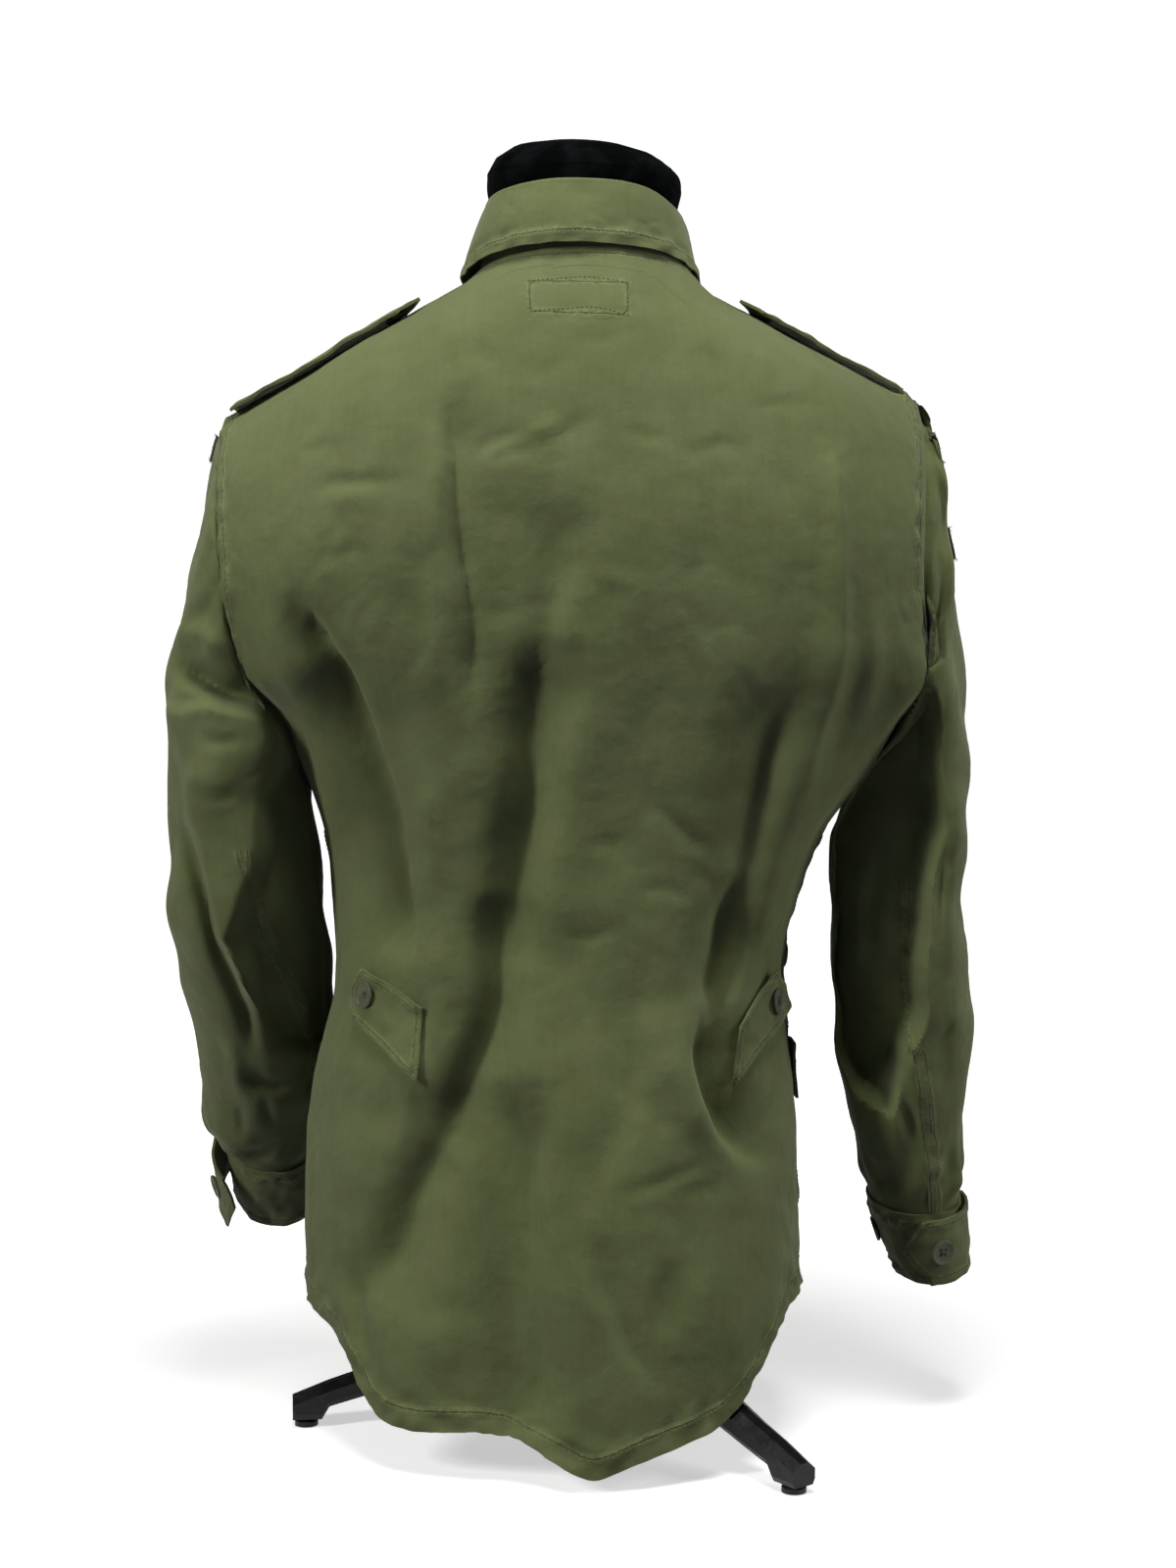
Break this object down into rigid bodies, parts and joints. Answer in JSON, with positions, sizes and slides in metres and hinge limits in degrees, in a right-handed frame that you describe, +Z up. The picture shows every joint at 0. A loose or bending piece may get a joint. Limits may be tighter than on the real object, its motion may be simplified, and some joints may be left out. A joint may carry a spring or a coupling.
{
  "type": "field jacket on dress form",
  "caption": "Buttoned cloth field jacket with shirt collar, shoulder straps and long curved tail hem, worn by a limbless dress form on a tripod stand.",
  "frame": {"origin": "on the floor, under the middle of the whole part's box", "axes": "+Z up; the jacket's front faces -Y and its back faces +Y; the wearer's left is +X"},
  "size_m": [0.589, 0.393, 0.9205],
  "materials": {
    "cloth": "matte olive cotton sateen",
    "button": "satin",
    "velvet": "short pile",
    "iron": "satin black paint",
    "patch": "matte twill"
  },
  "bodies": {
    "root": {"back": "cloth", "button_cuff_left": "button", "button_cuff_right": "button", "button_cuff_spare_left": "button", "button_cuff_spare_right": "button", "button_epaulette_left": "button", "button_epaulette_right": "button", "button_front_1": "button", "button_front_2": "button", "button_front_3": "button", "button_front_4": "button", "button_front_5": "button", "button_front_6": "button", "button_side_left": "button", "button_side_right": "button", "button_waist_left": "button", "button_waist_right": "button", "collar_fall": "cloth", "collar_stand": "cloth", "cuff_left": "cloth", "cuff_right": "cloth", "cuff_tab_left": "cloth", "cuff_tab_right": "cloth", "dress_form": "velvet", "epaulette_left": "cloth", "epaulette_right": "cloth", "front_left": "cloth", "front_right": "cloth", "hub": "iron", "leg_front": "iron", "leg_left": "iron", "leg_right": "iron", "pad_front": "iron", "pad_left": "iron", "pad_right": "iron", "patch_left": "patch", "patch_right_lower": "patch", "patch_right_upper": "patch", "placket": "cloth", "pocket_flap_left": "cloth", "pocket_flap_right": "cloth", "pocket_left": "cloth", "pocket_right": "cloth", "post": "iron", "sleeve_top_left": "cloth", "sleeve_top_right": "cloth", "sleeve_under_left": "cloth", "sleeve_under_right": "cloth", "waist_tab_left": "cloth", "waist_tab_right": "cloth"}
  },
  "joints": []
}
